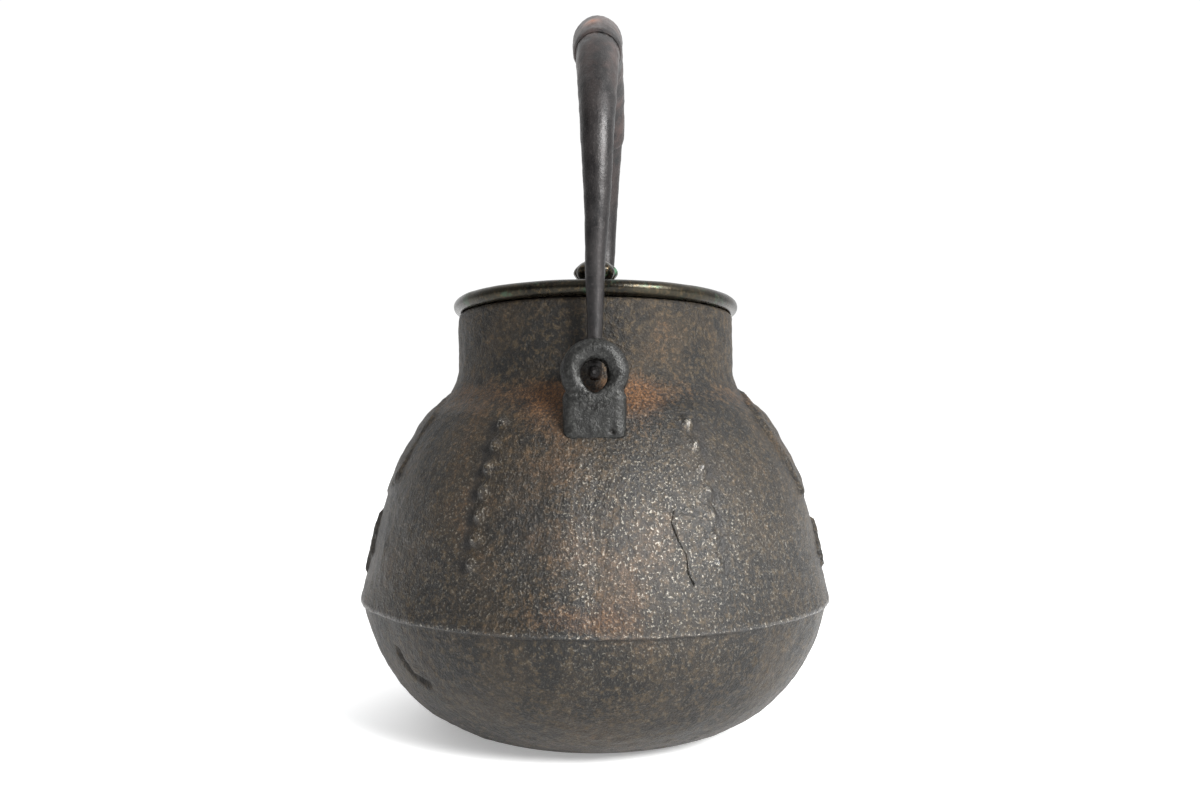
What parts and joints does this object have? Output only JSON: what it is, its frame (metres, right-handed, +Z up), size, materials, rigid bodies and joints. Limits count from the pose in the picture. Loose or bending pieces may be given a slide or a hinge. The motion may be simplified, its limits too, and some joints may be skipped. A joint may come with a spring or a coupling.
{
  "type": "iron kettle",
  "caption": "Round iron kettle with a short spout, a tall swinging bail handle on two ears, and a lift-off bronze lid with a bud knob.",
  "frame": {"origin": "middle of the flat base", "axes": "+Z up, +X towards the spout; the handle's arch lies in the XZ plane"},
  "size_m": [0.1939, 0.1666, 0.2527],
  "materials": {
    "cast_iron_body": "rough sand-cast iron, brown-grey with rust and a worn sheen",
    "cast_iron_ear": "dark grey cast iron, handled smooth",
    "forged_iron_handle": "blackish forged iron, hammered and worn",
    "bronze_lid": "dark patinated bronze with a soft gloss and green traces",
    "bronze_knob": "patinated bronze, olive and blue-green"
  },
  "bodies": {
    "kettle": {"kettle_body": "cast_iron_body", "kettle_spout": "cast_iron_body", "ear_rear": "cast_iron_ear", "ear_front": "cast_iron_ear"},
    "handle": {"handle_grip": "forged_iron_handle", "handle_leg_rear": "forged_iron_handle", "handle_leg_front": "forged_iron_handle"},
    "lid": {"lid": "bronze_lid", "knob_rosette": "bronze_knob", "knob_washer": "bronze_lid"},
    "knob": {"lid_knob": "bronze_knob"}
  },
  "joints": [
    {"name": "handle_swing", "type": "hinge", "parent": "kettle", "child": "handle", "pos_m": [0, 0, 0.1194], "axis": [1, 0, 0], "range_deg": [-108, 108]},
    {"name": "lid_lift", "type": "slide", "parent": "kettle", "child": "lid", "axis": [0, 0, 1], "range_m": [0, 0.05]},
    {"name": "knob_turn", "type": "hinge", "parent": "lid", "child": "knob", "pos_m": [0, 0, 0.155], "axis": [0, 0, 1], "continuous": true}
  ]
}
